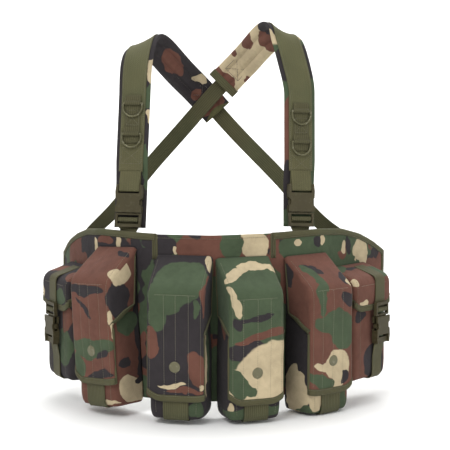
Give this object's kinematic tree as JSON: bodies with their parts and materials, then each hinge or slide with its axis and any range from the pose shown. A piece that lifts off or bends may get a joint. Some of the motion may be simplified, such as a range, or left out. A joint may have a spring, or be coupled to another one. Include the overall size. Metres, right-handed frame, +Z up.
{
  "type": "chest rig",
  "caption": "Camouflage chest rig: curved padded panel with lidded magazine pouches, buckled side pouches, crossed padded shoulder straps with D-rings, and a buckled waist strap.",
  "frame": {"origin": "on the wearer's midline at the outer face of the chest panel, at half the panel's height, where the rig rests against the breastbone", "axes": "+X towards the wearer's left, +Y from the panel's front towards the wearer, +Z up; the pouches face -Y"},
  "size_m": [0.5476, 0.3578, 0.5881],
  "materials": {
    "camouflage_cloth": "four-colour woodland camouflage nylon, matt",
    "lining_cloth": "plain olive nylon lining, matt",
    "binding_tape": "olive binding tape, matt",
    "pad_cloth": "camouflage nylon over foam, matt",
    "olive_webbing": "woven olive webbing, matt",
    "buckle_plastic": "moulded brown-olive acetal",
    "ring_steel": "olive painted wire",
    "snap_metal": "olive enamelled press stud"
  },
  "bodies": {
    "rig": {"back_webbing_left": "olive_webbing", "back_webbing_right": "olive_webbing", "chest_panel": "camouflage_cloth", "crossing_keeper": "olive_webbing", "d_ring_loops_left": "olive_webbing", "d_ring_loops_right": "olive_webbing", "front_adjuster_webbing": "olive_webbing", "front_buckle_left_plug": "buckle_plastic", "front_buckle_left_socket": "buckle_plastic", "front_buckle_right_plug": "buckle_plastic", "front_buckle_right_socket": "buckle_plastic", "panel_binding": "binding_tape", "panel_lining": "lining_cloth", "pouch_1_body": "camouflage_cloth", "pouch_2_body": "camouflage_cloth", "pouch_3_body": "camouflage_cloth", "pouch_4_body": "camouflage_cloth", "pouch_front_webbing": "olive_webbing", "shoulder_pad_left": "pad_cloth", "shoulder_pad_right": "pad_cloth", "shoulder_webbing_left": "olive_webbing", "shoulder_webbing_right": "olive_webbing", "side_pouch_left_body": "camouflage_cloth", "side_pouch_lower_webbing": "olive_webbing", "side_pouch_right_body": "camouflage_cloth", "snap_studs": "snap_metal", "waist_buckle_plug": "buckle_plastic", "waist_buckle_socket": "buckle_plastic", "waist_strap_left": "olive_webbing", "waist_strap_right": "olive_webbing"},
    "pouch_1_lid_body": {"pouch_1_lid": "camouflage_cloth", "pouch_1_snap_cap": "snap_metal"},
    "pouch_2_lid_body": {"pouch_2_lid": "camouflage_cloth", "pouch_2_snap_cap": "snap_metal"},
    "pouch_3_lid_body": {"pouch_3_lid": "camouflage_cloth", "pouch_3_snap_cap": "snap_metal"},
    "pouch_4_lid_body": {"pouch_4_lid": "camouflage_cloth", "pouch_4_snap_cap": "snap_metal"},
    "side_pouch_right_lid_body": {"side_pouch_right_lid": "camouflage_cloth", "side_pouch_right_lid_strap": "olive_webbing", "side_buckle_right_socket": "buckle_plastic", "side_buckle_right_plug": "buckle_plastic"},
    "side_pouch_left_lid_body": {"side_pouch_left_lid": "camouflage_cloth", "side_pouch_left_lid_strap": "olive_webbing", "side_buckle_left_socket": "buckle_plastic", "side_buckle_left_plug": "buckle_plastic"},
    "front_buckle_right_prong_a_body": {"front_buckle_right_prong_a": "buckle_plastic"},
    "front_buckle_right_prong_b_body": {"front_buckle_right_prong_b": "buckle_plastic"},
    "front_buckle_left_prong_a_body": {"front_buckle_left_prong_a": "buckle_plastic"},
    "front_buckle_left_prong_b_body": {"front_buckle_left_prong_b": "buckle_plastic"},
    "side_buckle_right_prong_a_body": {"side_buckle_right_prong_a": "buckle_plastic"},
    "side_buckle_right_prong_b_body": {"side_buckle_right_prong_b": "buckle_plastic"},
    "side_buckle_left_prong_a_body": {"side_buckle_left_prong_a": "buckle_plastic"},
    "side_buckle_left_prong_b_body": {"side_buckle_left_prong_b": "buckle_plastic"},
    "waist_buckle_prong_a_body": {"waist_buckle_prong_a": "buckle_plastic"},
    "waist_buckle_prong_b_body": {"waist_buckle_prong_b": "buckle_plastic"},
    "d_ring_lower_right_body": {"d_ring_lower_right": "ring_steel"},
    "d_ring_upper_right_body": {"d_ring_upper_right": "ring_steel"},
    "d_ring_lower_left_body": {"d_ring_lower_left": "ring_steel"},
    "d_ring_upper_left_body": {"d_ring_upper_left": "ring_steel"}
  },
  "joints": [
    {"name": "pouch_1_lid_hinge", "type": "hinge", "parent": "rig", "child": "pouch_1_lid_body", "pos_m": [-0.15442, 0.06354, 0.09678], "axis": [-0.7413, 0.6675, -0.0698], "range_deg": [0, 100]},
    {"name": "pouch_2_lid_hinge", "type": "hinge", "parent": "rig", "child": "pouch_2_lid_body", "pos_m": [-0.04954, 0.0068, 0.091], "axis": [-0.9781, 0.2079, 0], "range_deg": [0, 100]},
    {"name": "pouch_3_lid_hinge", "type": "hinge", "parent": "rig", "child": "pouch_3_lid_body", "pos_m": [0.03617, 0.01279, 0.088], "axis": [-0.9397, -0.342, 0], "range_deg": [0, 100]},
    {"name": "pouch_4_lid_hinge", "type": "hinge", "parent": "rig", "child": "pouch_4_lid_body", "pos_m": [0.13287, 0.06658, 0.085], "axis": [-0.788, -0.6157, 0], "range_deg": [0, 100]},
    {"name": "side_pouch_right_lid_hinge", "type": "hinge", "parent": "rig", "child": "side_pouch_right_lid_body", "pos_m": [-0.21284, 0.13813, 0.06], "axis": [-0.5, 0.866, 0], "range_deg": [0, 100]},
    {"name": "side_pouch_left_lid_hinge", "type": "hinge", "parent": "rig", "child": "side_pouch_left_lid_body", "pos_m": [0.20244, 0.13485, 0.06], "axis": [-0.6428, -0.766, 0], "range_deg": [0, 100]},
    {"name": "front_buckle_right_prong_a_squeeze", "type": "hinge", "parent": "rig", "child": "front_buckle_right_prong_a_body", "pos_m": [-0.14651, 0.06789, 0.15002], "axis": [-0.2389, -0.9582, 0.1573], "range_deg": [-8, 0], "stiffness_Nm_per_rad": 0.004},
    {"name": "front_buckle_right_prong_b_squeeze", "type": "hinge", "parent": "rig", "child": "front_buckle_right_prong_b_body", "pos_m": [-0.12342, 0.06213, 0.14998], "axis": [-0.2389, -0.9582, 0.1573], "range_deg": [0, 8], "stiffness_Nm_per_rad": 0.004},
    {"name": "front_buckle_left_prong_a_squeeze", "type": "hinge", "parent": "rig", "child": "front_buckle_left_prong_a_body", "pos_m": [0.11367, 0.07401, 0.1505], "axis": [0.3063, -0.9428, 0.1313], "range_deg": [-8, 0], "stiffness_Nm_per_rad": 0.004},
    {"name": "front_buckle_left_prong_b_squeeze", "type": "hinge", "parent": "rig", "child": "front_buckle_left_prong_b_body", "pos_m": [0.13633, 0.08123, 0.1495], "axis": [0.3063, -0.9428, 0.1313], "range_deg": [0, 8], "stiffness_Nm_per_rad": 0.004},
    {"name": "side_buckle_right_prong_a_squeeze", "type": "hinge", "parent": "side_pouch_right_lid_body", "child": "side_buckle_right_prong_a_body", "pos_m": [-0.25488, 0.10415, -0.015], "axis": [-0.866, -0.5, 0], "range_deg": [-8, 0], "stiffness_Nm_per_rad": 0.004},
    {"name": "side_buckle_right_prong_b_squeeze", "type": "hinge", "parent": "side_pouch_right_lid_body", "child": "side_buckle_right_prong_b_body", "pos_m": [-0.26328, 0.1187, -0.015], "axis": [-0.866, -0.5, 0], "range_deg": [0, 8], "stiffness_Nm_per_rad": 0.004},
    {"name": "side_buckle_left_prong_a_squeeze", "type": "hinge", "parent": "side_pouch_left_lid_body", "child": "side_buckle_left_prong_a_body", "pos_m": [0.25775, 0.11768, -0.015], "axis": [0.766, -0.6428, 0], "range_deg": [-8, 0], "stiffness_Nm_per_rad": 0.004},
    {"name": "side_buckle_left_prong_b_squeeze", "type": "hinge", "parent": "side_pouch_left_lid_body", "child": "side_buckle_left_prong_b_body", "pos_m": [0.24695, 0.10481, -0.015], "axis": [0.766, -0.6428, 0], "range_deg": [0, 8], "stiffness_Nm_per_rad": 0.004},
    {"name": "waist_buckle_prong_a_squeeze", "type": "hinge", "parent": "rig", "child": "waist_buckle_prong_a_body", "pos_m": [0, 0.292, -0.0084], "axis": [0, 1, 0], "range_deg": [-8, 0], "stiffness_Nm_per_rad": 0.004},
    {"name": "waist_buckle_prong_b_squeeze", "type": "hinge", "parent": "rig", "child": "waist_buckle_prong_b_body", "pos_m": [0, 0.292, 0.0084], "axis": [0, 1, 0], "range_deg": [0, 8], "stiffness_Nm_per_rad": 0.004},
    {"name": "d_ring_lower_right_swing", "type": "hinge", "parent": "rig", "child": "d_ring_lower_right_body", "pos_m": [-0.13124, 0.07932, 0.26761], "axis": [-0.9702, 0.2421, 0.0013], "range_deg": [0, 150]},
    {"name": "d_ring_upper_right_swing", "type": "hinge", "parent": "rig", "child": "d_ring_upper_right_body", "pos_m": [-0.12941, 0.08641, 0.31361], "axis": [-0.9702, 0.2421, 0.0013], "range_deg": [0, 150]},
    {"name": "d_ring_lower_left_swing", "type": "hinge", "parent": "rig", "child": "d_ring_lower_left_body", "pos_m": [0.12619, 0.08857, 0.25551], "axis": [-0.9519, -0.3034, 0.0423], "range_deg": [0, 150]},
    {"name": "d_ring_upper_left_swing", "type": "hinge", "parent": "rig", "child": "d_ring_upper_left_body", "pos_m": [0.12619, 0.09498, 0.30151], "axis": [-0.9519, -0.3034, 0.0423], "range_deg": [0, 150]}
  ],
  "couplings": [
    {"joint": "front_buckle_right_prong_b_squeeze", "follows": "front_buckle_right_prong_a_squeeze", "ratio": -1},
    {"joint": "front_buckle_left_prong_b_squeeze", "follows": "front_buckle_left_prong_a_squeeze", "ratio": -1},
    {"joint": "side_buckle_right_prong_b_squeeze", "follows": "side_buckle_right_prong_a_squeeze", "ratio": -1},
    {"joint": "side_buckle_left_prong_b_squeeze", "follows": "side_buckle_left_prong_a_squeeze", "ratio": -1},
    {"joint": "waist_buckle_prong_b_squeeze", "follows": "waist_buckle_prong_a_squeeze", "ratio": -1}
  ]
}
